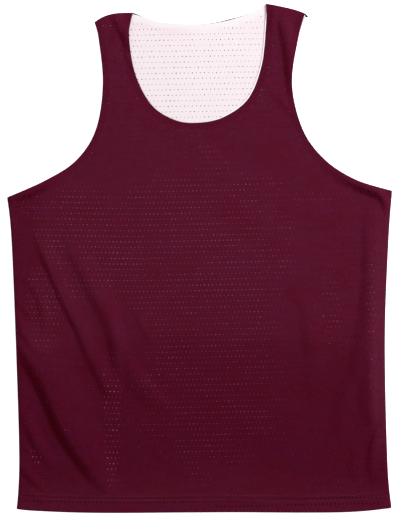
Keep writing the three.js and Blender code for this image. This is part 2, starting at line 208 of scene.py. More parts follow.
# The four plies: height of the sheet, which way its turned edges lie and how thick they are, the radius
# of its pinholes, its lattice's pitch and start, the slope of its rows, the lean of its columns and the
# bend of its rows towards the left, how far its cut shows past the outline at its open edges, at even
# steps along the edge in the outline's anticlockwise order, and how much further the turned edges hang
FLUSH = [0, 0]
HIDDEN = [-1, -1]
PLIES = {
    "back_outer": {
        "level": 0.35, "inward": 1, "lip": 0.2, "hole": 0.5, "slot": "maroon_mesh",
        "pitch": (5.6, 7.7), "phase": (0.4, 0.1), "slope": 0.004, "lean": 0, "bend": 0,
        "shows": {
            "neck": [0.2, 0.35, 0.7, 1.5, 0.7, 0.5, 0.3, 0.1, 0.1, 0.3, 0.2],
            "armhole_right": FLUSH, "armhole_left": FLUSH, "hem": FLUSH,
        },
        "sag": {"hem": 0.5},
    },
    "back_inner": {
        "level": 1.6, "inward": -1, "lip": 0.2, "hole": 0.64, "slot": "white_mesh",
        "pitch": (5.66, 7.73), "phase": (0.1, 0.55), "slope": 0.016, "lean": 0.003, "bend": 0,
        "shows": {
            "neck": [0] * 18 + [-0.1, -0.6, -2.6],
            "armhole_right": HIDDEN, "armhole_left": HIDDEN, "hem": HIDDEN,
        },
        "sag": {"neck": 0.4},
    },
    "front_inner": {
        "level": 3.9, "inward": 1, "lip": 0.08, "hole": 0.42, "slot": "white_mesh",
        "pitch": (5.58, 7.7), "phase": (0.3, 0.45), "slope": 0.016, "lean": 0.01, "bend": 0,
        "shows": {
            "neck": [-0.4, 1.4, 1.5, 1.5, 1.5, 1.5, 1.3, 1.0, 0.5, 0, -0.6, -1, -1, -1, -1, -1, -1],
            "hem": HIDDEN,
            "armhole_right": [0.3] * 10 + [0.4, 0.8, 2.2],
            "armhole_left": [0, 0.3, 0.6, 0.5, 0.2],
        },
        "sag": {},
    },
    "front_outer": {
        "level": 3.9, "inward": -1, "lip": 0.2, "hole": 0.425, "slot": "maroon_mesh",
        "pitch": (5.505, 7.75), "phase": (0, 0), "slope": 0.0215, "lean": 0.02, "bend": 0.0375,
        "shows": {"neck": FLUSH, "armhole_right": FLUSH, "armhole_left": FLUSH, "hem": FLUSH},
        "sag": {"hem": 0.6},
    },
}
BACK_TIP = (152, 692.5)  # the back's right shoulder point, which shows past the front's
BACK_ARMHOLE_END = (145.3, 690.5)
SEWN = {"side_left": SIDE_SEAM, "side_right": SIDE_SEAM}
SEWN.update({"shoulder_left": SHOULDER_SEAM, "shoulder_right": SHOULDER_SEAM})

# Soft unevenness of the cloth
RIPPLE = 1.0
BACK_RIPPLE = 0.25
RIPPLE_WAVES = 9
RIPPLE_LENGTHS = (35, 130)
TOUCH_RAGGED = 0.5
FRONT_SEED = 11
BACK_SEED = 5
TOUCH_SEED = 23
HOLE_SEED = 31

# How the shapes are worked out
CURVE_STEPS = 40
CHUNK = 8  # steps of a line that are searched together
LEAST_MITRE = 0.5
FOLD_SPACING = 8
FOLD_REACH = 5  # how much further than its widest flank above the crest a fold is worked out
LATTICE_SPARE = (12, 6)
FAR = 60  # depths further in than this aren't told apart
RIM_FAR = 40
RIM_KEPT = 0.97
TUCK = 0.4  # how far in the fold over the lip ends
LOWEST = 0.08
TURNED_ENDS = {"neck": 2, "armhole_left": 3, "armhole_right": 3, "hem": 3}  # points left free
SAG_GROWS = (1.5, 5)
PLAN_SIDE = HIGHEST * 1.02
PLAN_START = (-HIGHEST * 0.38, -5)
TURNED_COLUMN = (0.8, 0.045)  # where the turned edges' columns start in the plan map, and their step
TURNED_SHARE = 0.95

INNER_FOLD = 0.86  # the reverse ply's folds are lower and narrower by this much near its open edges
# Where one thing fades into another: the distance up to which it is full, and where it ends
INNER_BLEND = (10, 20)
TOUCH_RIM = (0.8, 1.1)
GAP_BLEND = (1, 6)
HEM_BLEND = (0, 1.5)
DOUBLE_BLEND = (-1, 1.5)
MAROON_BOUNCE_BLEND = (4, 10)
PEEK_HIGHLIGHT_BLEND = (3, 6)
PINK_SHADE_BLEND = (0.5, 4)
SIDE_HIGHLIGHT_BLEND = (13, 26)

# Up, and how lit the outer colour is painted there: painted shade darkens it towards the bottom, less so out
# at the sides
PAINTED_FALLOFF = [
    (0, 0.7), (30, 0.68), (45, 0.55), (75, 0.2), (110, 0.14), (150, 0.2), (220, 0.34), (243, 0.45),
    (262, 0.8), (300, 0.85), (370, 1),
]
PAINTED_FALLOFF_TILT = 0.1
# Painted shade along the left side too, and where it fades out
LEFT_PAINTED_SHADE = 0.5
LEFT_PAINTED_SHADE_FADE = (-245, -205)
# Up, and how much painted highlight lightens the cloth along the right side
SIDE_HIGHLIGHT = [(60, 0), (110, 0.5), (170, 0.9), (260, 1), (380, 0.9), (425, 0.3), (440, 0)]
NECK_SHADOW_FROM = 56  # the front's neckline casts a painted pink shadow on the white beside it, to the right of this
NECK_SHADOW_LINE = (2.4, 1.3)  # how far from the front's neckline the painted shadow line lies, and half its width
# Painted pink shade line along the back neck's turned allowance: its strength, its distance in and half
# width, and where it fades out across
BACK_PINK_SHADE = 0.35
BACK_PINK_SHADE_LINE = (12, 6)
BACK_PINK_SHADE_FADE = (-30, 20)

# The light
LIGHT_AZIMUTH = math.radians(42)
LIGHT_ELEVATION = math.radians(42)
LIGHT_DISTANCE = 3.2
LIGHT_SIZE = 1.6
KEY_ENERGY = 100
WORLD_STRENGTH = 0.55
FLOOR_GLOW = 0.9
TOWARDS_LIGHT = np.array([math.cos(LIGHT_AZIMUTH), math.sin(LIGHT_AZIMUTH)])
LIGHT_STEP = 1.5
DEEP_SLOPE = 0.9  # a fold that falls away from the light this steeply gets the strongest painted shade

# Colours
# Maroon: its painted-light and painted-shade copies, the doubled cloth, a painted highlight and the gloss's
# tint
MAROON_LIT = [0.077, 0.0057, 0.0197, 1]
MAROON_SHADED = [0.0595, 0.0024, 0.0122, 1]
MAROON_DOUBLE = [0.072, 0.0046, 0.0175, 1]
MAROON_HIGHLIGHT = [0.083, 0.0083, 0.0242, 1]
MAROON_GLOSS = [1, 0.4, 0.55, 1]
# White: the field, the doubled cloth, painted maroon bounce light, painted pink shade and a painted
# highlight
WHITE_FIELD = [0.77, 0.685, 0.715, 1]
WHITE_DOUBLE = [0.785, 0.735, 0.745, 1]
WHITE_MAROON_BOUNCE = [0.97, 0.54, 0.69, 1]
WHITE_PINK_SHADE = [0.76, 0.55, 0.615, 1]
WHITE_PEEK_HIGHLIGHT = [0.97, 0.92, 0.94, 1]
# Painted shade on fold flanks that fall away from the light, round shadowed pinholes and along the rims
DEEP_SHADE = [1, 0.38, 0.52, 1]
HOLE_SHADE = [0.5, 0.3, 0.38, 1]
RIM_SHADE = [0.75, 0.6, 0.65, 1]
RIM_WIDTH = 1.8

# Noises: scale, detail, and what becomes 0 and 1
YARN = (520, 2, 0.25, 0.75)
CLOUD = (24, 4, 0.3, 0.7)
UNEVEN = (330, 2, 0, 1)
FRAY = (900, 2, 0, 1)
THREAD_FADE = (9, 2, 0.35, 0.65)
STREAK = (0.6, 4, 1)

# The knit's wales and courses, and the strength and depth of its bumps
KNIT_WALES = 180
KNIT_COURSES = 230
KNIT_DISTORTION = 1.5
FINE_BUMP = (0.3, 0.0002)
SOFT_BUMP = (0.25, 0.0006)

# Stitches: spacing, length, and of the necklines and armholes, then of the hem, the radius and how
# high the middle lies, in radii
STITCH_SPACING = 2.8
STITCH_LENGTH = 1.7
STITCH_RADIUS = (0.15, 0.24)
STITCH_SUNK = (0.2, 0.6)
STITCH_SIDES = 5
# Share of the way along a stitch, its width there and how high it lies, in radii
STITCH_SHAPE = [(-0.5, 0.35, -0.8), (-0.3, 0.9, 0.25), (0.3, 0.9, 0.25), (0.5, 0.35, -0.8)]


def spline(rows, spacing):
    """Even points along the uniform Catmull-Rom curve through the rows. Further columns follow."""
    rows = np.array(rows, float)
    padded = np.vstack([rows[:1], rows, rows[-1:]])
    t = np.linspace(0, 1, CURVE_STEPS, endpoint=False)[:, None]
    spans = []
    for a, b, c, d in zip(padded, padded[1:], padded[2:], padded[3:]):
        bend = (2 * a - 5 * b + 4 * c - d) * t**2 + (3 * b - a - 3 * c + d) * t**3
        spans.append(b + 0.5 * ((c - a) * t + bend))
    dense = np.vstack([*spans, rows[-1:]])
    along = np.concatenate([[0], np.cumsum(np.linalg.norm(np.diff(dense[:, :2], axis=0), axis=1))])
    places = np.linspace(0, along[-1], max(2, round(along[-1] / spacing) + 1))
    return np.column_stack([np.interp(places, along, column) for column in dense.T])


def nearest(points, line, reach):
    """For each point within reach of a line: distance to it, share of the way along it, and on which
    side of it the point lies. Further points have an endless distance."""
    distance = np.full(len(points), np.inf)
    share = np.zeros(len(points))
    side = np.ones(len(points))
    last = len(line) - 1
    for first in range(0, last, CHUNK):
        part = line[first:first + CHUNK + 1]
        close = (points > part.min(0) - reach) & (points < part.max(0) + reach)
        near = np.flatnonzero(close.all(axis=1))
        for k, (start, end) in enumerate(zip(part, part[1:]), start=first):
            step = end - start
            offset = points[near] - start
            t = np.clip(offset @ step / (step @ step), 0, 1)
            gap = np.linalg.norm(offset - t[:, None] * step, axis=1)
            closer = gap < distance[near]
            which = near[closer]
            distance[which] = gap[closer]
            share[which] = (k + t[closer]) / last
            side[which] = np.sign(step[0] * offset[closer, 1] - step[1] * offset[closer, 0])
    return distance, share, side


def bump(distance, width):
    """A soft hump: 1 in its middle, and 0 from width on."""
    return np.clip(1 - (distance / width) ** 2, 0, None) ** 2


def smooth(low, high, value):
    """0 up to low and 1 from high on, with soft ends."""
    t = np.clip((value - low) / (high - low), 0, 1)
    return t * t * (3 - 2 * t)


def beside(points, line, full, end, past=0):
    """1 up to the distance full from a line, and 0 from end on. past is added to both."""
    full, end = full + past, end + past
    return 1 - smooth(full, end, nearest(points, line, end + 2)[0])


def inside(points, loop):
    """Which points lie inside a closed loop."""
    found = np.zeros(len(points), bool)
    x, up = points.T
    for (x0, up0), (x1, up1) in zip(loop, np.roll(loop, -1, axis=0)):
        if up0 == up1:
            continue
        crosses = (up0 > up) != (up1 > up)
        found ^= crosses & (x < (x1 - x0) * (up - up0) / (up1 - up0) + x0)
    return found


def closed(loop):
    return np.vstack([loop, loop[:1]])


def offset_loop(loop, depth):
    """The closed loop moved inward, mitred at its corners. depth is one number or one a point."""
    ahead = np.roll(loop, -1, axis=0) - loop
    ahead /= np.linalg.norm(ahead, axis=1)[:, None]
    behind = np.roll(ahead, 1, axis=0)
    normal = np.column_stack([-(ahead + behind)[:, 1], (ahead + behind)[:, 0]])
    normal /= np.linalg.norm(normal, axis=1)[:, None]
    mitre = np.sum(normal * np.column_stack([-ahead[:, 1], ahead[:, 0]]), axis=1)
    return loop + normal * (np.broadcast_to(depth, len(loop)) / np.maximum(mitre, LEAST_MITRE))[:, None]


def panel_edges(name):
    """The panel's edges, in order round it with the cloth on the left."""
    neck = NECK_FRONT if name.startswith("front") else NECK_BACK
    armhole, shoulder = ARMHOLE_RIGHT, SHOULDER_RIGHT
    if name == "back_outer":
        armhole = armhole[:-1] + [BACK_ARMHOLE_END, BACK_TIP]
        shoulder = [BACK_TIP] + shoulder
    return {
        "side_right": SIDE_RIGHT,
        "armhole_right": armhole,
        "shoulder_right": shoulder,
        "neck": neck[::-1],
        "shoulder_left": SHOULDER_LEFT[::-1],
        "armhole_left": ARMHOLE_LEFT[::-1],
        "side_left": SIDE_LEFT[::-1],
        "hem": HEM,
    }


class Ply:
    """One panel of one ply: its outline, its height field and its mesh."""

    def __init__(self, name):
        self.name = name
        self.__dict__.update(PLIES[name])
        self.is_front = name.startswith("front")
        self.is_outer = name.endswith("outer")
        lines = {edge: spline(rows, EDGE_SPACING)[:-1] for edge, rows in panel_edges(name).items()}
        self.kinds = np.concatenate([[edge] * len(line) for edge, line in lines.items()])
        ease = np.array([EASE.get(edge, 0.0) for edge in self.kinds])
        for _ in range(3):
            ease = (np.roll(ease, 1) + 2 * ease + np.roll(ease, -1)) / 4
        seam_loop = offset_loop(np.vstack(list(lines.values())), -ease)
        self.edges = {}
        depths = []
        for edge, line in lines.items():
            members = np.flatnonzero(self.kinds == edge)
            self.edges[edge] = seam_loop[np.append(members, (members[-1] + 1) % len(seam_loop))]
            share = np.linspace(0, 1, len(line) + 1)[:-1]
            if edge in SEWN:
                depths.append(np.full(len(line), 0 if self.is_outer else SEWN_INSET))
            else:
                steps = self.shows[edge]
                depths.append(-np.interp(share, np.linspace(0, 1, len(steps)), steps))
        self.outline = offset_loop(seam_loop, np.concatenate(depths))
        self.open_lines = {
            edge: self.outline[np.flatnonzero(self.kinds == edge)]
            for edge in self.edges if edge not in SEWN
        }

    def flat_height(self, points):
        """Height of the sheet before its sewn edges roll to their seams."""
        height = np.full(len(points), float(self.level))
        if not self.is_front:
            return height + BACK_RIPPLE * ripple(points, BACK_SEED) + self.open_edge_change(points)
        for seam, distance in self.seam_distances(points):
            height += seam["lift"] * bump(distance, seam["spread"])
        folds = relief(points, 1)
        if not self.is_outer:
            near = np.zeros(len(points))
            for edge in ("neck", "armhole_left", "armhole_right"):
                near = np.maximum(near, beside(points, self.open_lines[edge], *INNER_BLEND))
            folds += near * (relief(points, INNER_FOLD) - folds)
        height += RIPPLE * ripple(points, FRONT_SEED) + folds
        drop, start, end = NECK_PRESS
        height -= drop * beside(points, self.open_lines["neck"], start, end)
        if self.is_outer:
            height += HEM_RISE * beside(points, self.open_lines["hem"], *HEM_BLEND, ALLOWANCE["hem"])
        else:
            height -= self.gap(points)
        return height + self.open_edge_change(points)

    def gap(self, points):
        """How far the front's reverse ply hangs below its outer one."""
        touch = np.zeros(len(points))
        for x, up, wide, tall, close in TOUCHING:
            radius = np.hypot((points[:, 0] - x) / wide, (points[:, 1] - up) / tall)
            radius += TOUCH_RAGGED * ripple(points, TOUCH_SEED)
            touch = np.maximum(touch, close * (1 - smooth(*TOUCH_RIM, radius)))
        gap = HANG_GAP + (TOUCH_GAP - HANG_GAP) * touch
        for edge, line in self.open_lines.items():
            gap += (EDGE_GAP[edge] - gap) * beside(points, line, *GAP_BLEND, ALLOWANCE[edge])
        return gap

    def seam_distances(self, points):
        """Each kind of seam, and how far the points lie from the nearer one of that kind."""
        found = []
        for seam, name in ((SIDE_SEAM, "side"), (SHOULDER_SEAM, "shoulder")):
            left = nearest(points, self.edges[name + "_left"], seam["spread"])[0]
            right = nearest(points, self.edges[name + "_right"], seam["spread"])[0]
            found.append((seam, np.minimum(left, right)))
        return found

    def open_edge_change(self, points):
        """How the open edges round over."""
        change = np.zeros(len(points))
        for edge, line in self.open_lines.items():
            depth = nearest(points, line, LIP_ROUND + 1)[0]
            share = np.clip(depth / LIP_ROUND, 0, 1)
            change += self.inward * self.lip * LIP_DROP * (1 - np.sqrt(1 - (1 - share) ** 2))
        return change

    def height(self, points):
        """Height of the sheet, rolled to the seam lines at its sewn edges."""
        height = self.flat_height(points)
        inset = 0 if self.is_outer else SEWN_INSET
        for seam, distance in self.seam_distances(points):
            line = seam["height"] + (seam["groove"] if self.is_front else -seam["groove"])
            share = np.clip((distance - inset) / (seam["roll"] - inset), 0, 1)
            height = line + (height - line) * np.sqrt(1 - (1 - share) ** 2)
        return height


def ripple(points, seed):
    """Soft unevenness of cloth that isn't pulled flat, from -1 to 1."""
    rng = np.random.default_rng(seed)
    total = np.zeros(len(points))
    for _ in range(RIPPLE_WAVES):
        turn, phase = rng.uniform(0, 2 * math.pi, 2)
        length = rng.uniform(*RIPPLE_LENGTHS)
        along = points @ (math.cos(turn), math.sin(turn))
        total += np.sin(2 * math.pi * along / length + phase)
    return total / RIPPLE_WAVES


def relief(points, size):
    """Height of the folds, each scaled by size in height and in width."""
    total = np.zeros(len(points))
    for rows in FOLDS:
        crest = spline(rows, FOLD_SPACING)
        reach = max(row[4] for row in rows) + FOLD_REACH
        distance, share, side = nearest(points, crest[:, :2], reach)
        place = share * (len(crest) - 1)
        rise, below, above = (np.interp(place, np.arange(len(crest)), crest[:, k]) for k in (2, 3, 4))
        total += size * rise * bump(distance, size * np.where(side > 0, above, below))
    return total


class Lattice:
    """The staggered cells that lie whole inside a ply, each with a six-sided pinhole."""

    CORNERS = [(-1, 0), (0, 0), (1, 0), (1, 1), (0, 1), (-1, 1)]

    def __init__(self, ply):
        self.slope, self.lean, self.bend = ply.slope, ply.lean, ply.bend
        self.pitch = np.array(ply.pitch)
        self.phase = np.array(ply.phase) * self.pitch
        low, high = ply.outline.min(0), ply.outline.max(0)
        self.a0, self.b0 = np.floor(low / self.pitch / (0.5, 1)).astype(int) - LATTICE_SPARE
        a1, b1 = np.ceil(high / self.pitch / (0.5, 1)).astype(int) + LATTICE_SPARE
        a, b = np.meshgrid(np.arange(self.a0, a1), np.arange(self.b0, b1), indexing="ij")
        nodes = self.place(a.ravel(), b.ravel())
        deep = inside(nodes, ply.outline)
        deep[deep] = nearest(nodes[deep], closed(ply.outline), LATTICE_MARGIN + 1)[0] > LATTICE_MARGIN
        self.fits = deep.reshape(a.shape)
        self.cells = self.whole_cells()

    def climb(self, across):
        """How far the rows climb from left to right, and bend up again towards the left side."""
        left = -across - BEND_FROM
        return self.slope * across + self.bend * (np.hypot(left, BEND_SOFT) + left) / 2

    def place(self, a, b):
        """Where lattice nodes lie in the cloth."""
        across = np.asarray(a) * self.pitch[0] / 2 + self.phase[0]
        along = (np.asarray(b) - 0.5) * self.pitch[1] + self.phase[1]
        return np.column_stack([across - self.lean * along, along + self.climb(across)])

    def whole_cells(self):
        """The staggered cells whose six nodes all lie deep enough in the ply."""
        cells = set()
        wide, tall = self.fits.shape
        for i in range(1, wide - 1):
            for j in range(tall - 1):
                is_cell = (i + self.a0 + j + self.b0) % 2 == 0
                if is_cell and self.fits[i - 1:i + 2, j:j + 2].all():
                    cells.add((i + self.a0, j + self.b0))
        return cells

    def holds(self, points):
        """Which points lie in one of the cells."""
        along = points[:, 1]
        for _ in range(4):
            across = points[:, 0] + self.lean * along
            along = points[:, 1] - self.climb(across)
        b = np.floor((along - self.phase[1]) / self.pitch[1] + 0.5).astype(int)
        odd = b % 2
        a = 2 * np.round(((across - self.phase[0]) / (self.pitch[0] / 2) - odd) / 2).astype(int) + odd
        return np.array([key in self.cells for key in zip(a.tolist(), b.tolist())])


class Cloth:
    """Collects a mesh: points in the plane, extra height for turned edges, and faces."""

    def __init__(self):
        self.points, self.drops, self.faces, self.layers = [], [], [], []
        self.count = 0

    def add(self, points, drop=0.0, layer=0):
        """Put points in. Returns their indices."""
        start = self.count
        self.points.append(points)
        self.drops.append(np.broadcast_to(drop, len(points)))
        self.layers.append(np.full(len(points), layer))
        self.count += len(points)
        return np.arange(start, self.count)

    def strip(self, low, high, whole_loop):
        """Faces between two rows of the same length."""
        last = len(low) if whole_loop else len(low) - 1
        for k in range(last):
            n = (k + 1) % len(low)
            self.faces.append((int(low[k]), int(low[n]), int(high[n]), int(high[k])))


def row_runs(cells, rng):
    """Smooth change along each row of cells, from -1 to 1, that starts anew in every row."""
    column, row = (cells - cells.min(0)).T
    knots = rng.uniform(-1, 1, (int(row.max()) + 1, int(column.max() / 2 / HOLE_RUN_LENGTH) + 3))
    place = column / 2 / HOLE_RUN_LENGTH
    low = place.astype(int)
    row = row.astype(int)
    share = smooth(0, 1, place - low)
    return knots[row, low] * (1 - share) + knots[row, low + 1] * share


def add_cells(cloth, ply, lattice):
    """The perforated cells. Returns the index of each lattice node in use."""
    used = sorted({(a + da, b + db) for a, b in lattice.cells for da, db in Lattice.CORNERS})
    places = np.array(used)
    ids = cloth.add(lattice.place(places[:, 0], places[:, 1]))
    index = dict(zip(used, ids.tolist()))
    cells = sorted(lattice.cells)
    centres = np.array(cells, float)
    middle = lattice.place(centres[:, 0], centres[:, 1] + 0.5)
    turns = np.radians([210, 270, 330, 30, 90, 150])
    ring = np.column_stack([np.cos(turns), np.sin(turns)])
    rng = np.random.default_rng(HOLE_SEED)
    change = HOLE_UNEVEN * ripple(middle, HOLE_SEED) + HOLE_CHANCE * rng.uniform(-1, 1, len(middle))
    if ply.is_front:
        change += HOLE_RUN * row_runs(centres, rng)
    radius = ply.hole * (1 + change)
    if ply.name == "front_outer":
        radius[nearest(middle, ply.open_lines["hem"], FAR)[0] < HEM_HOLES[0]] *= HEM_HOLES[1]
    around = middle[:, None, :] + radius[:, None, None] * ring[None, :, :]
    holes = cloth.add(around.reshape(-1, 2)).reshape(-1, 6)
    cloth.holes = holes.ravel()
    corners = np.array([[index[a + da, b + db] for da, db in Lattice.CORNERS] for a, b in cells])
    rings = [corners, holes]
    if ply.is_front:
        border = lattice.place(places[:, 0], places[:, 1])[corners - ids[0]]
        between = middle[:, None, :] + RING_SHARE * (border - middle[:, None, :])
        rings.insert(1, cloth.add(between.reshape(-1, 2)).reshape(-1, 6))
    for outer, inner in zip(rings, rings[1:]):
        for low, high in zip(outer.tolist(), inner.tolist()):
            for k in range(6):
                n = (k + 1) % 6
                cloth.faces.append((low[k], low[n], high[n], high[k]))
    return index


def add_band(cloth, ply, lattice, index):
    """Plain cloth between the cells' ragged edge and the outline. Returns the outline's indices."""
    sides = Counter()
    for a, b in lattice.cells:
        ring = [index[a + da, b + db] for da, db in Lattice.CORNERS]
        for start, end in zip(ring, ring[1:] + ring[:1]):
            sides[min(start, end), max(start, end)] += 1
    ragged = [pair for pair, count in sides.items() if count == 1]
    border = sorted({i for pair in ragged for i in pair})
    places = {i: node for node, i in index.items()}
    nodes = np.array([places[i] for i in border])
    rim = cloth.add(ply.outline)
    points = [lattice.place(nodes[:, 0], nodes[:, 1]), ply.outline]
    ids = border + rim.tolist()
    for depth in RIM_DEPTHS:
        row = offset_loop(ply.outline, depth)
        row = row[nearest(row, closed(ply.outline), depth + 1)[0] > depth * RIM_KEPT]
        points.append(row)
        ids += cloth.add(row).tolist()
    where = {i: k for k, i in enumerate(ids)}
    edges = [(where[a], where[b]) for a, b in ragged]
    edges += [(where[a], where[b]) for a, b in zip(rim.tolist(), np.roll(rim, -1).tolist())]
    corners = [Vector(p) for p in np.vstack(points)]
    made, _, faces, origins, _, _ = delaunay_2d_cdt(corners, edges, [], 0, 1e-7)
    made = np.array(made)
    faces = np.array(faces)
    centres = made[faces].mean(axis=1)
    keep = inside(centres, ply.outline) & ~lattice.holds(centres)
    for face in faces[keep]:
        cloth.faces.append(tuple(ids[origins[k][0]] for k in face))
    return rim


def add_turned_edges(cloth, ply, under):
    """The allowances that are turned in at the open edges, and lie against the sheet."""
    for order, (edge, line) in enumerate(ply.open_lines.items()):
        members = np.flatnonzero(ply.kinds == edge)
        members = members[TURNED_ENDS[edge]:-TURNED_ENDS[edge]]
        previous = under[members]
        width = ALLOWANCE[edge]
        for depth in np.linspace(0, width, round(width / STRIP_ROW) + 1)[1:]:
            row = offset_loop(ply.outline, depth)[members]
            sag = ply.sag.get(edge, 0) * float(smooth(*SAG_GROWS, depth))
            ids = cloth.add(row, ply.inward * (ply.lip + sag), layer=1 + order)
            cloth.strip(ids, previous, whole_loop=False)
            previous = ids


def add_object(name, data):
    obj = bpy.data.objects.new(name, data)
    bpy.context.scene.collection.objects.link(obj)
    return obj


def make_ply(name):
    """Build one ply: its cells, the plain cloth round them, the lip and the turned edges."""
    ply = Ply(name)
    cloth = Cloth()
    lattice = Lattice(ply)
    index = add_cells(cloth, ply, lattice)
    rim = add_band(cloth, ply, lattice, index)
    sewn = np.isin(ply.kinds, list(SEWN))
    tuck = offset_loop(ply.outline, TUCK)
    groove = SIDE_SEAM["groove"] * (-1 if ply.is_front else 1)
    under = cloth.add(tuck, np.where(sewn, groove, ply.inward * ply.lip))
    cloth.strip(under, rim, whole_loop=True)
    add_turned_edges(cloth, ply, under)
    return finish_cloth(ply, cloth, rim, under)


def finish_cloth(ply, cloth, rim, under):
    """Lift the collected points to their heights and make the piece."""
    points = np.vstack(cloth.points)
    drops = np.concatenate(cloth.drops)
    layers = np.concatenate(cloth.layers)
    heights = ply.height(points) + drops
    tucked = np.isin(np.arange(len(points)), under)
    edge_height = ply.height(ply.outline)
    heights[tucked] = edge_height + drops[tucked]
    heights = np.maximum(heights, LOWEST)
    faces = cloth.faces
    if ply.name in ("back_outer", "front_inner"):
        faces = [face[::-1] for face in faces]
    mesh = bpy.data.meshes.new(ply.name + "_cloth")
    xyz = np.column_stack([points[:, 0], points[:, 1] - UP_ZERO, heights]) * MM
    mesh.from_pydata(xyz.tolist(), [], faces)
    mesh.validate()
    mesh.polygons.foreach_set("use_smooth", [True] * len(mesh.polygons))
    creased = tucked.copy()
    creased[rim] = True
    ends = np.empty(2 * len(mesh.edges), int)
    mesh.edges.foreach_get("vertices", ends)
    sharp = mesh.attributes.new("sharp_edge", "BOOLEAN", "EDGE")
    sharp.data.foreach_set("value", creased[ends].reshape(-1, 2).all(axis=1))
    add_maps(mesh, ply, points, layers, cloth.holes)
    return ply, add_object(ply.name + "_cloth", mesh)


def add_maps(mesh, ply, points, layers, holes):
    """A plan map for the bake, with the turned edges laid out beside the sheet, and the shares and
    distances that the materials mix by."""
    plan = (points - PLAN_START) / PLAN_SIDE
    for order, line in enumerate(ply.open_lines.values(), start=1):
        turned = layers == order
        depth, share, _ = nearest(points[turned], line, RIM_FAR)
        column = TURNED_COLUMN[0] + TURNED_COLUMN[1] * order
        plan[turned] = np.column_stack([column + depth / PLAN_SIDE, share * TURNED_SHARE])
    loops = np.empty(len(mesh.loops), int)
    mesh.loops.foreach_get("vertex_index", loops)
    mesh.uv_layers.new(name="OFBake").data.foreach_set("uv", plan[loops].ravel().astype(np.float32))
    double = np.zeros(len(points))
    # Painted maroon bounce light and shade on the front's reverse ply, seen through the outer ply's
    # pinholes; it fades out near the open edges
    maroon_bounce = np.full(len(points), float(ply.name == "front_inner"))
    for edge, line in ply.open_lines.items():
        double = np.maximum(double, beside(points, line, *DOUBLE_BLEND, ALLOWANCE[edge]))
        maroon_bounce *= 1 - beside(points, line, *MAROON_BOUNCE_BLEND)
    # Painted shade: the outer cloth is darker towards the bottom, the middle and the left side
    level = points[:, 1] + PAINTED_FALLOFF_TILT * np.abs(points[:, 0])
    falloff_shade = 1 - np.interp(level, *zip(*PAINTED_FALLOFF))
    falloff_shade = np.maximum(falloff_shade, LEFT_PAINTED_SHADE * (1 - smooth(*LEFT_PAINTED_SHADE_FADE, points[:, 0])))
    seam, deep = np.zeros(len(points)), np.zeros(len(points))
    if ply.name == "front_outer":
        # Painted highlight on the cloth along the right side
        strength = np.interp(points[:, 1], *zip(*SIDE_HIGHLIGHT))
        seam = strength * beside(points, ply.edges["side_right"], *SIDE_HIGHLIGHT_BLEND)
        # Painted shade on fold flanks that fall away from the light
        ahead = relief(points + LIGHT_STEP * TOWARDS_LIGHT, 1)
        deep = np.clip((ahead - relief(points, 1)) / LIGHT_STEP / DEEP_SLOPE, 0, 1)
    hem_depth = nearest(points, ply.open_lines["hem"], FAR)[0]
    shares = {"double": double, "falloff_shade": falloff_shade, "maroon_bounce": maroon_bounce, "seam": seam, "deep": deep}
    shares["hem_groove"] = np.clip(hem_depth, 0, FAR)
    shares["rim"] = np.clip(nearest(points, closed(ply.outline), RIM_FAR)[0], 0, RIM_FAR)
    # Painted shade round the pinholes that nothing bright shows through, full in the hem
    shares["hole_shade"] = np.ones(len(points))
    if ply.name == "front_outer":
        hanging = np.clip((ply.gap(points[holes]) - TOUCH_GAP) / (HANG_GAP - TOUCH_GAP), 0, 1) ** 2
        hanging *= HANG_HOLE_SHADE
        hanging[hem_depth[holes] < HEM_HOLES[0]] = 1
        shares["hole_shade"][holes] = 1 - hanging
    shares["pink_shade"] = np.zeros(len(points))
    shares["peek_highlight"] = np.zeros(len(points))
    if ply.name == "front_inner":
        # Painted highlight on the reverse ply's edge that shows inside the front's neckline
        shares["peek_highlight"] = beside(points, ply.open_lines["neck"], *PEEK_HIGHLIGHT_BLEND)
        # Painted pink shade at the armhole rims
        for edge in ("armhole_left", "armhole_right"):
            shares["pink_shade"] += beside(points, ply.open_lines[edge], *PINK_SHADE_BLEND)
    if ply.name == "back_inner":
        # Painted pink shade along the back neck's turned allowance, on the left
        middle, half_width = BACK_PINK_SHADE_LINE
        line = bump(nearest(points, ply.open_lines["neck"], 30)[0] - middle, half_width)
        shares["pink_shade"] = BACK_PINK_SHADE * line * (1 - smooth(*BACK_PINK_SHADE_FADE, points[:, 0]))
        # Distance from the front's neckline, for its painted pink shadow on the white beside it
        distance, _, side = nearest(points, spline(NECK_FRONT, EDGE_SPACING), FAR)
        shares["front_neck"] = np.clip(distance, 0, FAR) * side
        shares["front_neck"][points[:, 0] < NECK_SHADOW_FROM] = FAR
    for name, values in shares.items():
        layer = mesh.attributes.new(name, "FLOAT", "POINT")
        layer.data.foreach_set("value", values.astype(np.float32))


def new_material(name, roughness):
    material = bpy.data.materials.new(name)
    material.use_nodes = True
    shader = material.node_tree.nodes["Principled BSDF"]
    shader.inputs["Roughness"].default_value = roughness
    return material, material.node_tree, shader


def linear(red, green, blue):
    """Scene-linear colour of an sRGB one given in 0 to 255."""
    parts = [c / 255 for c in (red, green, blue)]
    return [c / 12.92 if c <= 0.04045 else ((c + 0.055) / 1.055) ** 2.4 for c in parts] + [1]


def set_inputs(tree, node, given):
    """Give a node's inputs their values, or link them to outputs."""
    for name, value in given.items():
        if isinstance(value, bpy.types.NodeSocket):
            tree.links.new(value, node.inputs[name])
        else:
            node.inputs[name].default_value = value


def add_node(tree, kind, given, **settings):
    node = tree.nodes.new("ShaderNode" + kind)
    for name, value in settings.items():
        setattr(node, name, value)
    set_inputs(tree, node, given)
    return node


def mix_by(tree, factor, first, second, blend="MIX"):
    """The result of mixing two colours or outputs."""
    given = {"Factor": factor, "A": first, "B": second}
    return add_node(tree, "Mix", given, data_type="RGBA", blend_type=blend).outputs["Result"]


